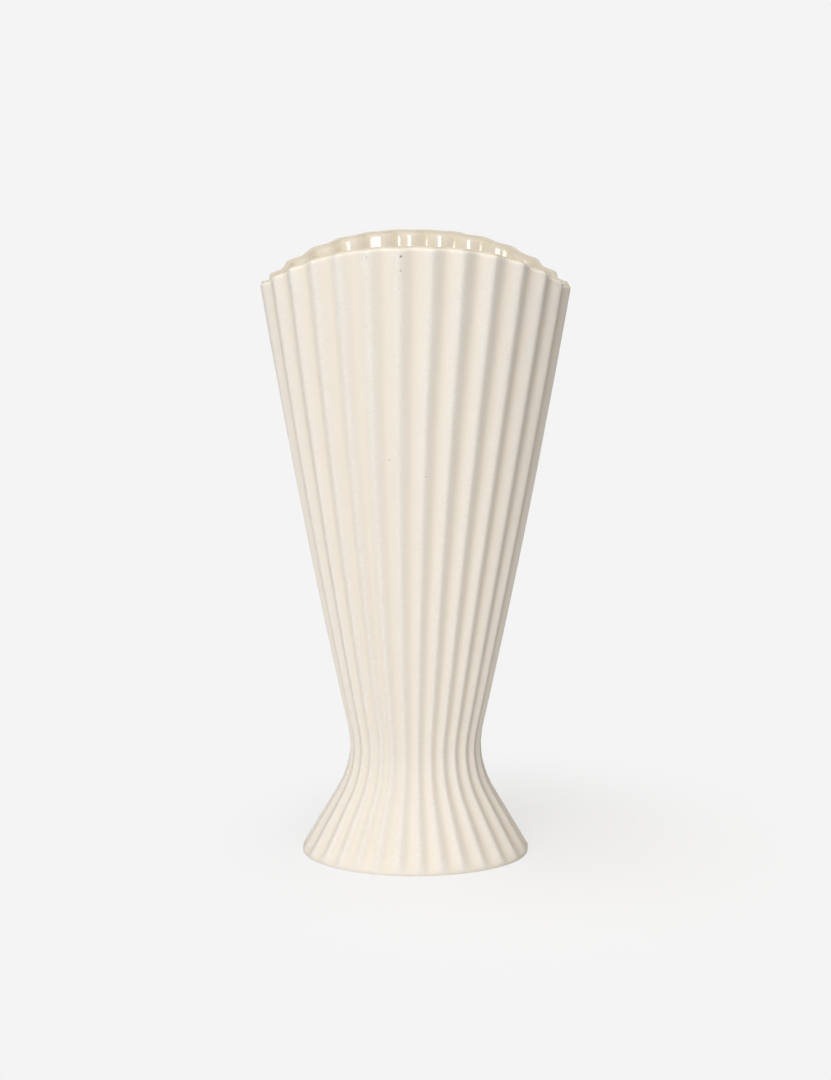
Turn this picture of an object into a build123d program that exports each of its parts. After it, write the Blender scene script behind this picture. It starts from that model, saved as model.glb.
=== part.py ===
from build123d import *

import os
from math import asin, atan2, cos, hypot, pi, sin, sqrt, tan

# Fan vase in cream stoneware: a fluted oval cup whose rim rises in an arch at the front and back,
# luted with casting slip to a fluted, flared and hollow foot. The cup is glazed inside and over its lip.
# Millimetres, +Z up, +X across the fan. The origin is the middle of the foot, on the table.

# Outline of the vase, taken at the crests of the flutes
overall_height = 330.0
rim_half_width = 81.0
waist_half_width = 35.3
foot_half_width = 61.3
waist_height = 61.0
foot_edge_height = 2.4
foot_edge_rounding = 0.9
cup_waist_radius = 50.0
foot_waist_radius = 52.0
cup_bow = 1.9

# Oval plan and arched rim
depth_share = 0.7
arch_rise = 23.0
arch_power = 2.4

# Flutes: round ribs and narrow flat grooves joined by straight flanks, evenly spaced along the wall
# with a groove at the front centre. The top of a rib and a groove are two steps wide, a flank three.
flute_count = 28
steps_per_flute = 10
flute_depth_share = 0.0235

# Cup wall and floor
cup_wall = 5.0
floor_thickness = 7.0
floor_rounding = 7.0

# Ring under the cup that locates it in the neck of the foot, with its wall at the sides
tenon_length = 6.0
tenon_wall = 4.0

# Foot wall at the sides, and neck
foot_wall = 7.5
neck_depth = 9.0

# Slip in the joint, and the glaze coat
slip_thickness = 0.8
glaze_coat = 0.4
overrun = 2.0

# Where the rings lie: as shares of the height of each wall, and of the lip's half turn
cup_outer_shares = (0.037, 0.35, 0.68, 1)
cup_inner_shares = (0, 0.34, 0.67, 1)
lip_turn_shares = (0.25, 0.5, 0.75)
foot_outer_shares = (0.85, 0.7, 0.56, 0.39, 0.22)
foot_hollow_steps = 8

# What follows from the sizes above
joint_top = waist_height + slip_thickness / 2
joint_bottom = waist_height - slip_thickness / 2
cup_crown_height = overall_height - glaze_coat
cup_floor_height = joint_top + floor_thickness
lip_radius = cup_wall / 2
rim_side_height = cup_crown_height - arch_rise
neck_half_width = waist_half_width - foot_wall
tenon_half_width = neck_half_width - slip_thickness


def tangent_angle(radius, out, along):
    """Lean of the straight line that leaves the waist arc and ends `out` wider and `along` away."""
    return atan2(out - radius, along) + asin(radius / hypot(along, out - radius))


cup_lean = tangent_angle(cup_waist_radius, rim_half_width - waist_half_width, rim_side_height - waist_height)
foot_lean = tangent_angle(
    foot_waist_radius, foot_half_width - waist_half_width, waist_height - foot_edge_height
)


def flared(radius, lean, along):
    """Growth in half width at `along` from the waist: an arc, then its tangent line."""
    if along < radius * sin(lean):
        return radius - sqrt(radius**2 - along**2)
    return radius * (1 - cos(lean)) + (along - radius * sin(lean)) * tan(lean)


def half_width(height):
    """Half width of the vase over the crests of its flutes at a height."""
    along = height - waist_height
    if along < 0:
        below = min(-along, waist_height - foot_edge_height)
        return waist_half_width + flared(foot_waist_radius, foot_lean, below)
    share = min(along / (rim_side_height - waist_height), 1)
    return waist_half_width + flared(cup_waist_radius, cup_lean, along) + 4 * cup_bow * share * (1 - share)


def even_turns():
    """Cosine and sine of the oval's angle at points that leave equal lengths of wall between them."""
    oval = Edge.make_ellipse(1, depth_share)
    count = flute_count * steps_per_flute
    spots = [oval @ (index / count) for index in range(count)]
    return [(spot.X, spot.Y / depth_share) for spot in spots]


TURNS = even_turns()
HALF_FLUTE = steps_per_flute // 2


def oval_ring(wide, height):
    """Plain level oval with a flat to every flute."""
    turns = TURNS[::steps_per_flute]
    return Wire.make_polygon([Vector(wide * across, depth_share * wide * fore, height) for across, fore in turns])


def fluted_ring(height_at, inset=0, rounded=True):
    """Closed ring round the fluted wall, `inset` inside its crests. height_at takes the share of the
    half width at which a point lies, so a ring can follow the arched rim. The top of each rib is an
    arc, or a flat where the ring isn't rounded."""
    points = []
    for index, (across, fore) in enumerate(TURNS):
        height = height_at(across)
        wide = half_width(height)
        wave_share = (1 + cos(2 * pi * index / steps_per_flute)) / 2
        depth = inset + flute_depth_share * wide * wave_share
        length = hypot(depth_share * across, fore)
        points.append(
            Vector(
                wide * across - depth * depth_share * across / length,
                depth_share * wide * fore - depth * fore / length,
                height,
            )
        )
    edges = []
    for groove in range(0, len(points), steps_per_flute):
        rib = groove + HALF_FLUTE
        corners = [points[spot] for spot in (groove - 1, groove + 1, rib - 1, rib + 1)]
        edges.append(Edge.make_line(corners[0], corners[1]))
        edges.append(Edge.make_line(corners[1], corners[2]))
        if rounded:
            edges.append(Edge.make_three_point_arc(corners[2], points[rib], corners[3]))
        else:
            edges.append(Edge.make_line(corners[2], corners[3]))
        edges.append(Edge.make_line(corners[3], points[groove + steps_per_flute - 1]))
    return Wire(edges)


def level_ring(height, inset=0, rounded=True):
    """Level ring round the fluted wall."""
    return fluted_ring(lambda across: height, inset, rounded)


def rim_height(across):
    """Height of the unglazed rim."""
    return cup_crown_height - arch_rise * abs(across) ** arch_power


def lip_ring(turn_share, coat=0):
    """Ring on the fully rounded lip, at a share of its half turn from the outside wall to the inside
    wall, raised by a coat of glaze where there is one."""
    turn = pi * turn_share
    radius = lip_radius + coat
    rise = radius * sin(turn) - lip_radius
    return fluted_ring(
        lambda across: rim_height(across) + rise, lip_radius - radius * cos(turn), rounded=False
    )


def wall_ring(base, share, inset=0, rounded=False):
    """Ring on the cup's wall, at a share of the way from the height `base` to the lip."""
    return fluted_ring(
        lambda across: base + share * (rim_height(across) - lip_radius - base), inset, rounded
    )


def oval_bar(low, high, wide):
    """Upright oval bar."""
    return Solid.make_loft([oval_ring(wide, low), oval_ring(wide, high)], True)


def oval_tube(low, high, wide, wall):
    """Upright oval tube, `wall` thick at its sides."""
    return oval_bar(low, high, wide) - oval_bar(low - overrun, high + overrun, wide - wall)


def cup_inner_rings(coat=0):
    """Rings from the cup's floor up to its lip, raised by a coat of glaze where there is one."""
    floor = cup_floor_height + coat
    inset = cup_wall + coat
    rings = [level_ring(floor, inset + floor_rounding, rounded=False)]
    rings += [wall_ring(floor + floor_rounding, share, inset) for share in cup_inner_shares]
    return rings


def make_fluted_cup():
    """Outside wall, lip and inside wall in one skin, closed by its underside and its floor."""
    rings = [level_ring(joint_top, rounded=False)]
    rings += [wall_ring(joint_top, share, rounded=True) for share in cup_outer_shares]
    rings += [lip_ring(turn_share) for turn_share in lip_turn_shares]
    rings += reversed(cup_inner_rings())
    cup = Solid.make_loft(rings, True)
    return cup + oval_tube(joint_top - tenon_length, joint_top, tenon_half_width, tenon_wall)


def make_interior_glaze():
    """Coat on the cup's floor and inside wall, lapped over the lip as far as its crown."""
    crown_to_wall_shares = lip_turn_shares[lip_turn_shares.index(0.5) :]
    rings = cup_inner_rings()
    rings += [lip_ring(turn_share) for turn_share in reversed(crown_to_wall_shares)]
    rings += [lip_ring(turn_share, glaze_coat) for turn_share in crown_to_wall_shares]
    rings += reversed(cup_inner_rings(glaze_coat))
    return Solid.make_loft(rings, True)


def make_pedestal_foot():
    """Fluted skirt with a plain hollow, an upright neck for the cup's ring and a flat bottom edge."""
    outer_rings = [level_ring(joint_bottom, rounded=False)]
    outer_rings += [level_ring(share * joint_bottom) for share in foot_outer_shares]
    outer_rings.append(level_ring(foot_edge_height))
    outer_rings.append(level_ring(0, foot_edge_rounding, rounded=False))
    skirt = Solid.make_loft(outer_rings, True)

    neck_base = joint_bottom - neck_depth
    hollow_rings = [
        oval_ring(neck_half_width, joint_bottom + overrun),
        oval_ring(neck_half_width, neck_base),
    ]
    for step in range(1, foot_hollow_steps + 1):
        height = neck_base + step / foot_hollow_steps * (foot_edge_height - neck_base)
        hollow_rings.append(oval_ring(half_width(height) - foot_wall, height))
    hollow_rings.append(oval_ring(half_width(foot_edge_height) - foot_wall, -overrun))
    return skirt - Solid.make_loft(hollow_rings, True)


def make_luting_slip():
    """Slip that fills the joint: a layer on the foot's top edge, and a collar round the cup's ring."""
    joint_rings = [level_ring(height, rounded=False) for height in (joint_bottom, joint_top)]
    layer = Solid.make_loft(joint_rings, True)
    bore = oval_bar(joint_bottom - overrun, joint_top + overrun, tenon_half_width)
    collar = oval_tube(joint_top - tenon_length, joint_bottom, neck_half_width, slip_thickness)
    return (layer - bore) + collar


pieces = {
    "fluted_cup": make_fluted_cup,
    "interior_glaze": make_interior_glaze,
    "luting_slip": make_luting_slip,
    "pedestal_foot": make_pedestal_foot,
}

os.makedirs("parts", exist_ok=True)
for name, make in pieces.items():
    export_step(make(), os.path.join("parts", name + ".step"))
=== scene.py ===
from bisect import bisect_left
from math import asin, atan2, cos, hypot, pi, radians, sin, sqrt, tan

import bmesh
import bpy
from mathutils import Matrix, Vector, noise


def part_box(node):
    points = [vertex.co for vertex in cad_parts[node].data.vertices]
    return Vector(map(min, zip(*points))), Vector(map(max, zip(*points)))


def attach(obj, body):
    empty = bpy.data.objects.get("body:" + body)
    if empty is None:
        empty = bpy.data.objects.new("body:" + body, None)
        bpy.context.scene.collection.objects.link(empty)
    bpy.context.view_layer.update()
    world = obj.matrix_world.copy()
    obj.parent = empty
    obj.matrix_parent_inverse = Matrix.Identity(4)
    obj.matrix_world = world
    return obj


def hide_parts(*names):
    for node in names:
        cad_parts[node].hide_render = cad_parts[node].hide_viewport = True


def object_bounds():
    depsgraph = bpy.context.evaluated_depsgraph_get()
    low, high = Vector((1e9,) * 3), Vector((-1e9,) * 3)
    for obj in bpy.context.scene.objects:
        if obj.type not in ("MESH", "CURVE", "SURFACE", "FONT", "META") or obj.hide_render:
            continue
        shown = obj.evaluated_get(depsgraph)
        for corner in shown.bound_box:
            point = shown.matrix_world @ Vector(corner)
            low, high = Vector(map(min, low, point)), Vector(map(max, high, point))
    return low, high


# Fan vase in cream stoneware, cast in a mould: a fluted cup with an arched rim, luted to a fluted foot,
# matt outside and glazed inside. Sizes are in millimetres and become metres where a point is placed.

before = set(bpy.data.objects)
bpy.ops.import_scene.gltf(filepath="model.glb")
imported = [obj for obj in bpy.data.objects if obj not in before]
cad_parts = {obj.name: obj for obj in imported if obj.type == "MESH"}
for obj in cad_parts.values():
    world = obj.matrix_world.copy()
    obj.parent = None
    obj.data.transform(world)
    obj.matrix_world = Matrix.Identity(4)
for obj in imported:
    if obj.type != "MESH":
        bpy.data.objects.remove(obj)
CAD_BOX = [list(corner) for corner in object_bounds()]
MM = 0.001

# Outline over the crests of the flutes
OVERALL_HEIGHT = CAD_BOX[1][2] / MM
RIM_HALF_WIDTH = 80.55
WAIST_HALF_WIDTH = 35.3
FOOT_HALF_WIDTH = 61.3
JOINT_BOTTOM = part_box("pedestal_foot")[1].z / MM
JOINT_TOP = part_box("luting_slip")[1].z / MM
WAIST_HEIGHT = (JOINT_BOTTOM + JOINT_TOP) / 2
TENON_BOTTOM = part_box("luting_slip")[0].z / MM
CUP_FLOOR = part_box("interior_glaze")[0].z / MM
FOOT_EDGE_HEIGHT = 2.4
CUP_WAIST_RADIUS = 50.0
FOOT_WAIST_RADIUS = 52.0
CUP_BOW = 1.9
DEPTH_SHARE = 0.7
ARCH_RISE = 23.0
ARCH_POWER = 2.4

# Walls, glaze and the joint in the waist
CUP_WALL = 5.0
LIP_RADIUS = CUP_WALL / 2
FLOOR_ROUNDING = 7.0
FLOOR_SHARES = (0, 0.35, 0.7)
GLAZE_COAT = 0.4
GLAZE_LAP_SHARE = 0.24
CROWN_HEIGHT = OVERALL_HEIGHT - GLAZE_COAT
RIM_SIDE_HEIGHT = CROWN_HEIGHT - ARCH_RISE
FOOT_WALL = 7.5
NECK_DEPTH = 9.0
NECK_HALF_WIDTH = WAIST_HALF_WIDTH - FOOT_WALL
SLIP_THICKNESS = JOINT_TOP - JOINT_BOTTOM
TENON_HALF_WIDTH = NECK_HALF_WIDTH - SLIP_THICKNESS
TENON_WALL = 4.0
FOOT_EDGE_ROUNDING = 0.9
FLUTE_FADE_HEIGHT = 6.0

# Flutes, and how far a hand-finished piece strays from even ones. Shares of a flute's pitch or depth
FLUTES = 28
FLUTE_DEPTH_SHARE = 0.034
GROOVE_BREADTH_POWER = 0.8
STEPS_PER_FLUTE = 16
RING_STEPS = FLUTES * STEPS_PER_FLUTE
SHIFTS_ROUND = ((0, 0), (0.14, -0.12), (0.38, -0.16), (0.5, -0.38), (0.57, -0.34), (0.68, 0), (1, 0))
SHIFTS_UP = ((0, 0.3), (30, 0.33), (62, 0.33), (130, 0.28), (200, 0.18), (250, 0.11), (300, 0.02), (330, 0))
PITCH_WOBBLE_SHARE = 0.03
DEPTH_WOBBLE_SHARE = 0.1
INSIDE_DEPTH_SHARE = 0.76
WALL_WOBBLE = 0.15
WOBBLE_LENGTH = 60.0
RIM_DROP = 0.15
RIM_WOBBLE = 0.1
RIM_TILT = 0.5
RIM_DIP = 0.5

# Spacing of the rings that make each wall, steps round each curve, and the gap that is merged
RING_SPACING = 7.0
FOOT_RING_SPACING = 3.0
LIP_STEPS = 10
GLAZE_LAP_STEPS = 8
FLOOR_CORNER_STEPS = 6
FOOT_EDGE_STEPS = 6
FOOT_INSIDE_STEPS = 14
MERGED_GAP = 0.001

# Iron specks in the front wall: place across, height and size
SPECKS = ((-7.2, 325, 0.85), (-7.4, 318, 0.5), (-24, 324.5, 0.4), (5.2, 213.5, 0.4), (-13.2, 221.5, 0.45))
FRONT_PLANE = (1.0, 0.0, 1.0)

# Colours of the fired clay and of the painted shade in its grooves, and sizes in millimetres of its
# cloudiness and of its tooth. The real tooth is finer than the picture can show, so it is drawn coarser
CLAY_PALE = "F5F0E7"
CLAY_WARM = "EEE8DD"
CLAY_GRAIN = "DCD4C6"
# Painted shade: grooves tinted darker and warmer than the ribs, standing in for the shade that falls in
# them
GROOVE_PAINTED_SHADE = "E6DDCE"
IRON_SPECK = "9C8A74"
CLOUD_SIZE = 18.0
TOOTH_SIZE = 0.9
TOOTH_HEIGHT = 0.12

# Colours of the clay under the glaze, one of them partly painted shade, and sizes of the glaze's runs and
# ripples
GLAZE_PALE = "F6EEDE"
GLAZE_WARM = "F2E8D3"
GLAZE_POOLED = "EDE2CA"
# Partly painted shade: darker colour where the glaze faces up, for glaze thinning over the lip and for
# shade against the top lamp's light
GLAZE_THINNED_AND_SHADED = "BDB4A2"
RUN_SIZE = 30.0
RIPPLE_SIZE = 9.0
RIPPLE_HEIGHT = 0.1

# Camera fitted to the photograph: its height, distance and aim in metres, and its lens
CAMERA_PLACE = (0.0, -1.1817, 0.4203)
CAMERA_AIM = (0.0, 0.0, 0.1713)
CAMERA_LENS = 76.4
SENSOR_WIDTH = 36.0

# Studio: backdrop, floor and its shadow, light from all round, and the height that the lamps aim at,
# in metres
BACKGROUND = "F4F4F4"
FLOOR_SIZE = 12.0
FLOOR_COLOUR = (0.89, 0.88, 0.87, 1)
FLOOR_SHADOW_SHARE = 0.3
SHADOW_CENTRE = (0.06, 0.0, 0.0)
SHADOW_NEAR = 0.06
SHADOW_FAR = 0.2
AMBIENT_STRENGTH = 0.02
AMBIENT_COLOUR = "FFF0DC"
LAMP_AIM_HEIGHT = 0.2
KEY_TINT = (0.97, 1.0, 1.06)
TOP_TINT = (1.02, 1.0, 0.98)

# Places of the colour sockets of a mix
SHARE, FIRST, SECOND, MIXED = 0, 6, 7, 2


def colour(hex_value):
    """Linear colour of an sRGB hex value."""
    parts = [int(hex_value[start : start + 2], 16) / 255 for start in (0, 2, 4)]
    linear = [part / 12.92 if part <= 0.04045 else ((part + 0.055) / 1.055) ** 2.4 for part in parts]
    return (*linear, 1)


# Shape of the wall


def tangent_angle(radius, out, along):
    """Lean of the straight line that leaves the waist arc and ends `out` wider and `along` away."""
    return atan2(out - radius, along) + asin(radius / hypot(along, out - radius))


CUP_LEAN = tangent_angle(
    CUP_WAIST_RADIUS, RIM_HALF_WIDTH - WAIST_HALF_WIDTH, RIM_SIDE_HEIGHT - WAIST_HEIGHT
)
FOOT_LEAN = tangent_angle(
    FOOT_WAIST_RADIUS, FOOT_HALF_WIDTH - WAIST_HALF_WIDTH, WAIST_HEIGHT - FOOT_EDGE_HEIGHT
)


def flared(radius, lean, along):
    """Growth in half width at `along` from the waist: an arc, then its tangent line."""
    if along < radius * sin(lean):
        return radius - sqrt(radius**2 - along**2)
    return radius * (1 - cos(lean)) + (along - radius * sin(lean)) * tan(lean)


def half_width(height):
    """Half width of the vase over the crests of its flutes at a height."""
    along = height - WAIST_HEIGHT
    if along < 0:
        below = min(-along, WAIST_HEIGHT - FOOT_EDGE_HEIGHT)
        return WAIST_HALF_WIDTH + flared(FOOT_WAIST_RADIUS, FOOT_LEAN, below)
    share = min(along / (RIM_SIDE_HEIGHT - WAIST_HEIGHT), 1)
    return WAIST_HALF_WIDTH + flared(CUP_WAIST_RADIUS, CUP_LEAN, along) + 4 * CUP_BOW * share * (1 - share)


def even_turns(count, fineness=20):
    """Cosine and sine of the oval's angle at points that leave equal lengths of wall between them."""
    angles = [2 * pi * index / (count * fineness) for index in range(count * fineness + 1)]
    lengths = [0.0]
    for before, after in zip(angles, angles[1:]):
        across = cos(after) - cos(before)
        fore = DEPTH_SHARE * (sin(after) - sin(before))
        lengths.append(lengths[-1] + hypot(across, fore))
    spots = [bisect_left(lengths, lengths[-1] * index / count) for index in range(count)]
    return [(cos(angles[spot]), sin(angles[spot])) for spot in spots]


TURNS = even_turns(RING_STEPS)


def wander(share, height, grain, seed):
    """Smooth random value from about -1 to 1 that runs round the wall without a seam. A larger grain
    changes faster round the wall."""
    turn = 2 * pi * share
    return noise.noise(Vector((cos(turn) * grain, sin(turn) * grain, height / WOBBLE_LENGTH + seed)))


def between(places, place):
    """Value at a place in a short table, changing evenly from each row to the next."""
    for (start, before), (end, after) in zip(places, places[1:]):
        if place <= end:
            return before + (after - before) * (place - start) / (end - start)
    return places[-1][1]


def flute_shift(share, height):
    """How far the flutes lie from even ones, in pitches."""
    shift = between(SHIFTS_ROUND, share) + between(SHIFTS_UP, height)
    return shift + PITCH_WOBBLE_SHARE * wander(share, height / 3, grain=4, seed=1)


def groove_share(share, height):
    """How deep the wall lies in a flute: 1 in a groove and 0 on a rib."""
    wave_share = (1 + cos(2 * pi * (FLUTES * share + flute_shift(share, height)))) / 2
    return wave_share**GROOVE_BREADTH_POWER


def rim_height(across, share):
    """Height of the stoneware rim, a little uneven as a hand leaves it."""
    arch = CROWN_HEIGHT - ARCH_RISE * abs(across) ** ARCH_POWER
    dip = RIM_DIP * abs(across) * groove_share(share, arch)
    wobble = RIM_WOBBLE * wander(share, 0, grain=6, seed=9)
    return arch - dip - RIM_TILT * across - RIM_DROP - wobble


def wall_ring(height_at, inset=0, flutes=1):
    """Ring round the wall, `inset` inside its crests. height_at takes a point's share of the half
    width and its share of the way round."""
    points = []
    for index, (across, fore) in enumerate(TURNS):
        share = index / RING_STEPS
        height = height_at(across, share)
        wide = half_width(height)
        strength = 1 + DEPTH_WOBBLE_SHARE * wander(share, height, grain=5, seed=4)
        depth = FLUTE_DEPTH_SHARE * wide * groove_share(share, height) * strength
        swell = WALL_WOBBLE * (wander(share, height, grain=1.5, seed=6) - 1)
        depth = inset + flutes * depth - swell
        length = hypot(DEPTH_SHARE * across, fore)
        across_place = wide * across - depth * DEPTH_SHARE * across / length
        fore_place = DEPTH_SHARE * wide * fore - depth * fore / length
        points.append(Vector((across_place * MM, fore_place * MM, height * MM)))
    return points


def level_ring(height, inset=0, flutes=1):
    """Level ring round the wall."""
    return wall_ring(lambda across, share: height, inset, flutes)


def oval_ring(wide, height):
    """Plain level oval."""
    deep = DEPTH_SHARE * wide
    return [Vector((wide * across * MM, deep * fore * MM, height * MM)) for across, fore in TURNS]


def shrunk_ring(ring, share):
    """A ring drawn in towards the axis."""
    return [Vector((point.x * share, point.y * share, point.z)) for point in ring]


def lip_ring(turn_share, coat=0):
    """Ring on the rounded lip, at a share of its half turn from the outside to the inside."""
    turn = pi * turn_share
    radius = LIP_RADIUS + coat
    rise = radius * sin(turn) - LIP_RADIUS
    flutes = 1 + (INSIDE_DEPTH_SHARE - 1) * turn_share
    inset = LIP_RADIUS - radius * cos(turn)
    return wall_ring(lambda across, share: rim_height(across, share) + rise, inset, flutes)


def cup_side_ring(base, share_up, inset=0, flutes=1):
    """Ring on the side of the cup, at a share of the way from the height `base` to the lip."""

    def height_at(across, share):
        return base + share_up * (rim_height(across, share) - LIP_RADIUS - base)

    return wall_ring(height_at, inset, flutes)


def cup_inside_rings(coat=0):
    """Rings from the middle of the cup's floor, round its corner and up its wall to the lip."""
    floor = CUP_FLOOR + coat
    inset = CUP_WALL + coat
    flat = level_ring(floor, inset + FLOOR_ROUNDING, 0)
    rings = [shrunk_ring(flat, share) for share in FLOOR_SHARES]
    for step in range(FLOOR_CORNER_STEPS):
        turn = pi / 2 * step / FLOOR_CORNER_STEPS
        rise = FLOOR_ROUNDING * (1 - cos(turn))
        flutes = INSIDE_DEPTH_SHARE * sin(turn)
        rings.append(level_ring(floor + rise, inset + FLOOR_ROUNDING * (1 - sin(turn)), flutes))
    base = floor + FLOOR_ROUNDING
    steps = round((RIM_SIDE_HEIGHT - base) / RING_SPACING)
    rings += [cup_side_ring(base, step / steps, inset, INSIDE_DEPTH_SHARE) for step in range(steps + 1)]
    return rings


# Pieces


def piece_from_rings(name, rings, material, smooth_angle=radians(40)):
    """Closed skin through rings: a sheet rolled up, with its seam and its poles merged."""
    mesh_maker = bmesh.new()
    rows = len(rings) - 1
    bmesh.ops.create_grid(mesh_maker, x_segments=RING_STEPS, y_segments=rows, size=0.5)
    groove_layer = mesh_maker.verts.layers.float.new("groove_share")
    for vertex in mesh_maker.verts:
        column = round((vertex.co.x + 0.5) * RING_STEPS) % RING_STEPS
        vertex.co = rings[round((vertex.co.y + 0.5) * rows)][column]
        vertex[groove_layer] = groove_share(column / RING_STEPS, vertex.co.z / MM)
    bmesh.ops.remove_doubles(mesh_maker, verts=mesh_maker.verts, dist=MERGED_GAP * MM)
    bmesh.ops.recalc_face_normals(mesh_maker, faces=mesh_maker.faces)
    mesh = bpy.data.meshes.new(name)
    mesh_maker.to_mesh(mesh)
    mesh_maker.free()
    mesh.shade_smooth()
    mesh.set_sharp_from_angle(angle=smooth_angle)
    mesh.materials.append(material)
    piece = bpy.data.objects.new(name, mesh)
    bpy.context.scene.collection.objects.link(piece)
    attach(piece, "root")
    return piece


def make_cup(material):
    """Cast cup with its underside, the ring that locates it in the foot, and its rounded lip."""
    base = level_ring(JOINT_TOP)
    tenon_inside = TENON_HALF_WIDTH - TENON_WALL
    rings = [oval_ring(0, JOINT_TOP), oval_ring(tenon_inside, JOINT_TOP)]
    rings += [oval_ring(tenon_inside, TENON_BOTTOM), oval_ring(TENON_HALF_WIDTH, TENON_BOTTOM)]
    rings += [oval_ring(TENON_HALF_WIDTH, JOINT_TOP), base]
    steps = round((RIM_SIDE_HEIGHT - JOINT_TOP) / RING_SPACING)
    rings += [cup_side_ring(JOINT_TOP, step / steps) for step in range(1, steps + 1)]
    rings += [lip_ring(step / LIP_STEPS) for step in range(1, LIP_STEPS)]
    rings += reversed(cup_inside_rings())
    return piece_from_rings("stoneware_cup", rings, material)


def make_glaze(material):
    """Clear glaze on the floor and inside wall, lapped over the crown of the lip."""
    lap = 1 - GLAZE_LAP_SHARE
    turns = [GLAZE_LAP_SHARE + lap * step / GLAZE_LAP_STEPS for step in range(GLAZE_LAP_STEPS)]
    rings = cup_inside_rings()
    rings += [lip_ring(turn_share) for turn_share in reversed(turns)]
    rings += [lip_ring(turn_share, GLAZE_COAT) for turn_share in turns[1:]]
    rings += reversed(cup_inside_rings(GLAZE_COAT))
    return piece_from_rings("glaze_lining", rings, material, radians(70))


def fading(height):
    """Share of the flutes' depth that is left near the bottom edge of the foot, where they die out."""
    share = min(height / FLUTE_FADE_HEIGHT, 1)
    return share**2 * (3 - 2 * share)


def make_foot(material):
    """Fluted, flared skirt, hollow and open underneath, with softened bottom edges."""
    steps = round((JOINT_BOTTOM - FOOT_EDGE_HEIGHT) / FOOT_RING_SPACING)
    climb = (JOINT_BOTTOM - FOOT_EDGE_HEIGHT) / steps
    rings = []
    for step in range(steps + 1):
        height = JOINT_BOTTOM - step * climb
        rings.append(level_ring(height, 0, fading(height)))
    for step in range(1, FOOT_EDGE_STEPS + 1):
        turn = pi / 2 * step / FOOT_EDGE_STEPS
        inset = FOOT_EDGE_ROUNDING * (1 - cos(turn))
        height = FOOT_EDGE_HEIGHT * (1 - sin(turn))
        rings.append(level_ring(height, inset, fading(height)))
    neck_base = JOINT_BOTTOM - NECK_DEPTH
    inside_foot = half_width(FOOT_EDGE_HEIGHT) - FOOT_WALL
    rings.append(oval_ring(inside_foot + FOOT_EDGE_ROUNDING, 0))
    rings.append(oval_ring(inside_foot, FOOT_EDGE_ROUNDING))
    for step in range(FOOT_INSIDE_STEPS):
        height = FOOT_EDGE_HEIGHT + step / FOOT_INSIDE_STEPS * (neck_base - FOOT_EDGE_HEIGHT)
        rings.append(oval_ring(half_width(height) - FOOT_WALL, height))
    rings += [oval_ring(NECK_HALF_WIDTH, neck_base), oval_ring(NECK_HALF_WIDTH, JOINT_BOTTOM), rings[0]]
    return piece_from_rings("stoneware_foot", rings, material)


def make_joint(material):
    """Fired slip that fills the joint, sponged flush with the flutes outside."""
    outside = level_ring(JOINT_BOTTOM), level_ring(JOINT_TOP)
    rings = [*outside, oval_ring(TENON_HALF_WIDTH, JOINT_TOP), oval_ring(TENON_HALF_WIDTH, TENON_BOTTOM)]
    rings += [oval_ring(NECK_HALF_WIDTH, TENON_BOTTOM), oval_ring(NECK_HALF_WIDTH, JOINT_BOTTOM)]
    rings.append(outside[0])
    return piece_from_rings("slip_joint", rings, material)


# Materials


def new_material(name):
    material = bpy.data.materials.new(name)
    material.use_nodes = True
    material.node_tree.nodes.clear()
    return material


def add_node(tree, kind, inputs=None, **settings):
    """Adds a node with its settings. An input is a value, or a socket to link from."""
    node = tree.nodes.new(kind)
    for name, value in settings.items():
        setattr(node, name, value)
    for name, value in (inputs or {}).items():
        if isinstance(value, bpy.types.NodeSocket):
            tree.links.new(value, node.inputs[name])
        else:
            node.inputs[name].default_value = value
    return node


def per_metre(size):
    """Scale of a pattern whose features are `size` millimetres wide."""
    return 1 / (size * MM)


def speck_shares(tree, place):
    """1 on the iron specks in the front wall, 0 elsewhere."""
    spread = add_node(tree, "ShaderNodeVectorMath", {0: place, 1: FRONT_PLANE}, operation="MULTIPLY")
    total = None
    for across, height, size in SPECKS:
        centre = (across * MM, 0, height * MM)
        away = add_node(
            tree, "ShaderNodeVectorMath", {0: spread.outputs[0], 1: centre}, operation="DISTANCE"
        )
        share = add_node(
            tree,
            "ShaderNodeMapRange",
            {
                "Value": away.outputs["Value"],
                "From Min": 0.3 * size * MM,
                "From Max": size * MM,
                "To Min": 1.0,
                "To Max": 0.0,
            },
        ).outputs["Result"]
        if total is not None:
            share = add_node(tree, "ShaderNodeMath", {0: total, 1: share}, operation="MAXIMUM").outputs[0]
        total = share
    return total


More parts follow.
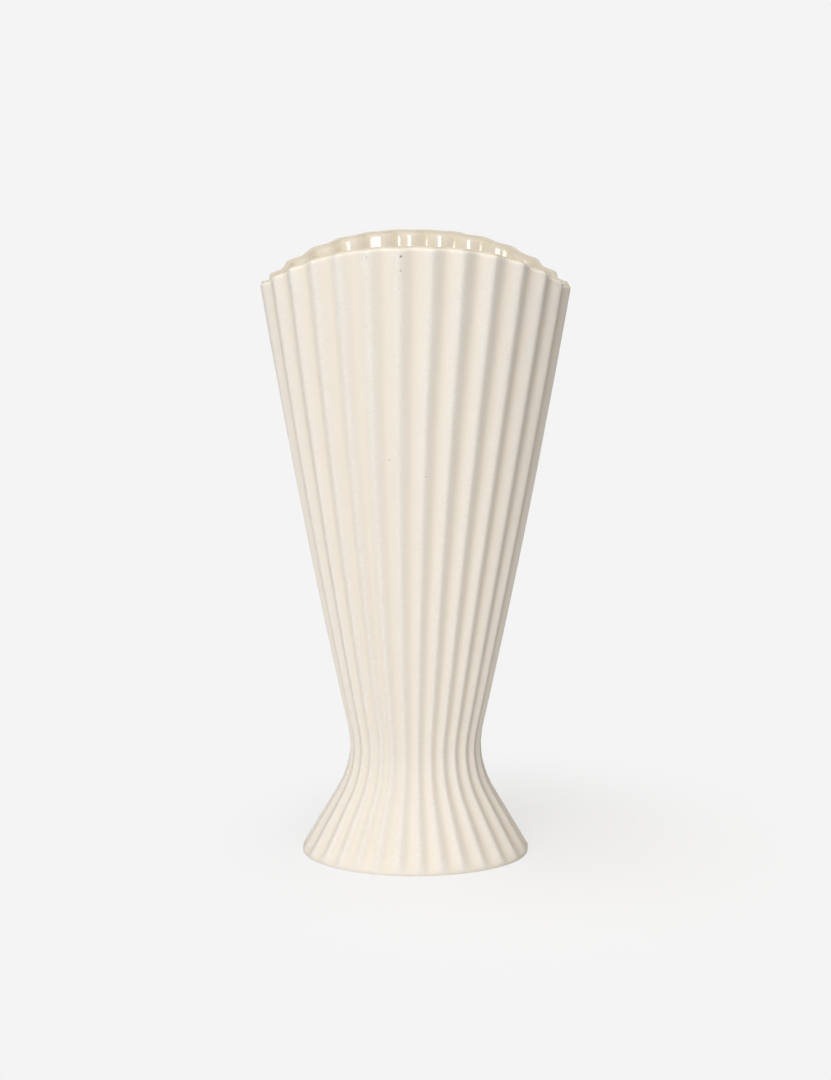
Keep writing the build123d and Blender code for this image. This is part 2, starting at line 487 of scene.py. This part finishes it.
def make_matt_stoneware(name):
    """Unglazed cream stoneware, cast and sponged: dull, with a fine tooth, a faint cloudiness and a few
    iron specks. The grooves are painted a little darker and warmer than the ribs, as painted shade."""
    material = new_material(name)
    tree = material.node_tree
    place = add_node(tree, "ShaderNodeTexCoord").outputs["Object"]
    clouds = add_node(
        tree, "ShaderNodeTexNoise", {"Vector": place, "Scale": per_metre(CLOUD_SIZE), "Detail": 6.0}
    )
    tooth = add_node(
        tree, "ShaderNodeTexNoise", {"Vector": place, "Scale": per_metre(TOOTH_SIZE), "Detail": 2.0}
    )
    groove = add_node(tree, "ShaderNodeAttribute", attribute_name="groove_share")
    body = colour(CLAY_PALE)
    for share, tint in (
        (clouds.outputs["Fac"], CLAY_WARM),
        (tooth.outputs["Fac"], CLAY_GRAIN),
        # Painted shade in the grooves, fullest at the bottom of each groove
        (groove.outputs["Fac"], GROOVE_PAINTED_SHADE),
        (speck_shares(tree, place), IRON_SPECK),
    ):
        inputs = {SHARE: share, FIRST: body, SECOND: colour(tint)}
        body = add_node(tree, "ShaderNodeMix", inputs, data_type="RGBA").outputs[MIXED]
    rough = add_node(
        tree, "ShaderNodeMapRange", {"Value": tooth.outputs["Fac"], "To Min": 0.74, "To Max": 0.86}
    )
    bump = add_node(
        tree,
        "ShaderNodeBump",
        {"Height": tooth.outputs["Fac"], "Strength": 0.4, "Distance": TOOTH_HEIGHT * MM},
    )
    shader = add_node(
        tree,
        "ShaderNodeBsdfPrincipled",
        {
            "Base Color": body,
            "Roughness": rough.outputs["Result"],
            "IOR": 1.5,
            "Specular IOR Level": 0.35,
            "Normal": bump.outputs["Normal"],
        },
    )
    add_node(tree, "ShaderNodeOutputMaterial", {"Surface": shader.outputs[0]})
    return material


def make_clear_glaze():
    """Clear gloss glaze, poured in and drained, over the cream body: it deepens the clay's colour, more
    so where it pools in the inside grooves, and mirrors the key lamp. Where it faces up, as over the
    crown of the lip, it is duller and painted darker: partly glaze that thins over the lip, partly
    painted shade that tones down the light of the top lamp."""
    material = new_material("clear_gloss_glaze")
    tree = material.node_tree
    place = add_node(tree, "ShaderNodeTexCoord").outputs["Object"]
    runs = add_node(
        tree, "ShaderNodeTexNoise", {"Vector": place, "Scale": per_metre(RUN_SIZE), "Detail": 2.0}
    )
    ripple = add_node(
        tree, "ShaderNodeTexNoise", {"Vector": place, "Scale": per_metre(RIPPLE_SIZE), "Detail": 1.0}
    )
    groove = add_node(tree, "ShaderNodeAttribute", attribute_name="groove_share")
    normal = add_node(tree, "ShaderNodeNewGeometry").outputs["Normal"]
    facing = add_node(tree, "ShaderNodeSeparateXYZ", {"Vector": normal})
    # Share of the glaze that faces up, painted darker there: partly thin glaze, partly painted shade
    facing_up = add_node(
        tree, "ShaderNodeMapRange", {"Value": facing.outputs["Z"], "From Min": 0.2, "From Max": 0.65}
    )
    coat = add_node(
        tree,
        "ShaderNodeMix",
        {SHARE: runs.outputs["Fac"], FIRST: colour(GLAZE_PALE), SECOND: colour(GLAZE_WARM)},
        data_type="RGBA",
    ).outputs[MIXED]
    pooled = add_node(
        tree,
        "ShaderNodeMix",
        {SHARE: groove.outputs["Fac"], FIRST: colour(GLAZE_POOLED), SECOND: coat},
        data_type="RGBA",
    ).outputs[MIXED]
    broken_and_shaded = add_node(
        tree,
        "ShaderNodeMix",
        {SHARE: facing_up.outputs["Result"], FIRST: pooled, SECOND: colour(GLAZE_THINNED_AND_SHADED)},
        data_type="RGBA",
    ).outputs[MIXED]
    bump = add_node(
        tree,
        "ShaderNodeBump",
        {"Height": ripple.outputs["Fac"], "Strength": 0.3, "Distance": RIPPLE_HEIGHT * MM},
    )
    gloss = add_node(
        tree, "ShaderNodeMapRange", {"Value": facing_up.outputs["Result"], "To Min": 0.06, "To Max": 0.4}
    )
    shader = add_node(
        tree,
        "ShaderNodeBsdfPrincipled",
        {
            "Base Color": broken_and_shaded,
            "Roughness": gloss.outputs["Result"],
            "IOR": 1.65,
            "Normal": bump.outputs["Normal"],
        },
    )
    add_node(tree, "ShaderNodeOutputMaterial", {"Surface": shader.outputs[0]})
    return material


# Studio


def seen_directly(tree):
    """1 for a ray from the camera or a mirror-like reflection, 0 for light that falls on the vase."""
    path = add_node(tree, "ShaderNodeLightPath")
    mirrored = add_node(
        tree,
        "ShaderNodeMath",
        {0: path.outputs["Is Glossy Ray"], 1: path.outputs["Is Transmission Ray"]},
        operation="MAXIMUM",
    )
    seen = add_node(
        tree,
        "ShaderNodeMath",
        {0: path.outputs["Is Camera Ray"], 1: mirrored.outputs[0]},
        operation="MAXIMUM",
    )
    return seen.outputs[0]


def make_floor():
    """Pale floor that melts into the background and keeps a faint shadow round the foot."""
    mesh_maker = bmesh.new()
    bmesh.ops.create_grid(mesh_maker, x_segments=1, y_segments=1, size=FLOOR_SIZE / 2)
    mesh = bpy.data.meshes.new("studio_floor")
    mesh_maker.to_mesh(mesh)
    mesh_maker.free()
    floor = bpy.data.objects.new("studio_floor", mesh)
    bpy.context.scene.collection.objects.link(floor)
    material = new_material("pale_floor")
    tree = material.node_tree
    place = add_node(tree, "ShaderNodeTexCoord").outputs["Object"]
    offset = add_node(tree, "ShaderNodeVectorMath", {0: place, 1: SHADOW_CENTRE}, operation="SUBTRACT")
    away = add_node(tree, "ShaderNodeVectorMath", {0: offset.outputs[0]}, operation="LENGTH")
    plain = add_node(
        tree,
        "ShaderNodeMapRange",
        {
            "Value": away.outputs["Value"],
            "From Min": SHADOW_NEAR,
            "From Max": SHADOW_FAR,
            "To Min": 1 - FLOOR_SHADOW_SHARE,
            "To Max": 1.0,
        },
        interpolation_type="SMOOTHSTEP",
    )
    factor = add_node(
        tree, "ShaderNodeMath", {0: seen_directly(tree), 1: plain.outputs["Result"]}, operation="MULTIPLY"
    )
    matt = add_node(tree, "ShaderNodeBsdfDiffuse", {"Color": FLOOR_COLOUR})
    glow = add_node(tree, "ShaderNodeEmission", {"Color": colour(BACKGROUND), "Strength": 1.0})
    mix = add_node(
        tree, "ShaderNodeMixShader", {0: factor.outputs[0], 1: matt.outputs[0], 2: glow.outputs[0]}
    )
    add_node(tree, "ShaderNodeOutputMaterial", {"Surface": mix.outputs[0]})
    mesh.materials.append(material)


def make_world():
    """Even light from all round, seen as the plain background."""
    world = bpy.data.worlds.new("studio")
    bpy.context.scene.world = world
    world.use_nodes = True
    tree = world.node_tree
    tree.nodes.clear()
    ambient = add_node(
        tree, "ShaderNodeBackground", {"Color": colour(AMBIENT_COLOUR), "Strength": AMBIENT_STRENGTH}
    )
    plain = add_node(tree, "ShaderNodeBackground", {"Color": colour(BACKGROUND), "Strength": 1.0})
    mix = add_node(
        tree, "ShaderNodeMixShader", {0: seen_directly(tree), 1: ambient.outputs[0], 2: plain.outputs[0]}
    )
    add_node(tree, "ShaderNodeOutputWorld", {"Surface": mix.outputs[0]})


def add_lamp(name, azimuth, elevation, distance, width, height, radiance, tint, mirrored=True):
    """Soft box aimed at the cup. Azimuth is in degrees from the camera's side, positive to the right.
    Radiance is how bright its face is."""
    lamp = bpy.data.lights.new(name, "AREA")
    lamp.shape = "RECTANGLE"
    lamp.size = width
    lamp.size_y = height
    lamp.energy = radiance * width * height * pi
    lamp.color = tint
    holder = bpy.data.objects.new(name, lamp)
    bpy.context.scene.collection.objects.link(holder)
    turn, climb = radians(azimuth), radians(elevation)
    out = Vector((sin(turn) * cos(climb), -cos(turn) * cos(climb), sin(climb)))
    target = Vector((0, 0, LAMP_AIM_HEIGHT))
    holder.location = target + out * distance
    holder.rotation_euler = out.to_track_quat("Z", "Y").to_euler()
    holder.visible_camera = False
    holder.visible_glossy = mirrored


def make_camera():
    """Camera at the photograph's viewing angle."""
    lens = bpy.data.cameras.new("camera")
    lens.lens = CAMERA_LENS
    lens.sensor_width = SENSOR_WIDTH
    camera = bpy.data.objects.new("camera", lens)
    bpy.context.scene.collection.objects.link(camera)
    camera.location = CAMERA_PLACE
    back = Vector(CAMERA_PLACE) - Vector(CAMERA_AIM)
    camera.rotation_euler = back.to_track_quat("Z", "Y").to_euler()
    bpy.context.scene.camera = camera


stoneware = make_matt_stoneware("matt_cast_stoneware")
slip = make_matt_stoneware("fired_casting_slip")
glaze = make_clear_glaze()

cup = make_cup(stoneware)
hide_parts("fluted_cup")
lining = make_glaze(glaze)
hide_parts("interior_glaze")
foot = make_foot(stoneware)
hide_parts("pedestal_foot")
joint = make_joint(slip)
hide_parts("luting_slip")

make_floor()
make_world()
make_camera()
add_lamp("key_box", -18, 7, distance=2.2, width=0.95, height=1.0, radiance=7.3, tint=KEY_TINT)
add_lamp(
    "left_panel", -58, 5, distance=2.0, width=1.2, height=1.6, radiance=0.77, tint=KEY_TINT, mirrored=False
)
add_lamp(
    "top_panel", 0, 80, distance=2.0, width=1.6, height=1.6, radiance=6.15, tint=TOP_TINT, mirrored=False
)
bpy.context.scene.view_settings.view_transform = "Standard"
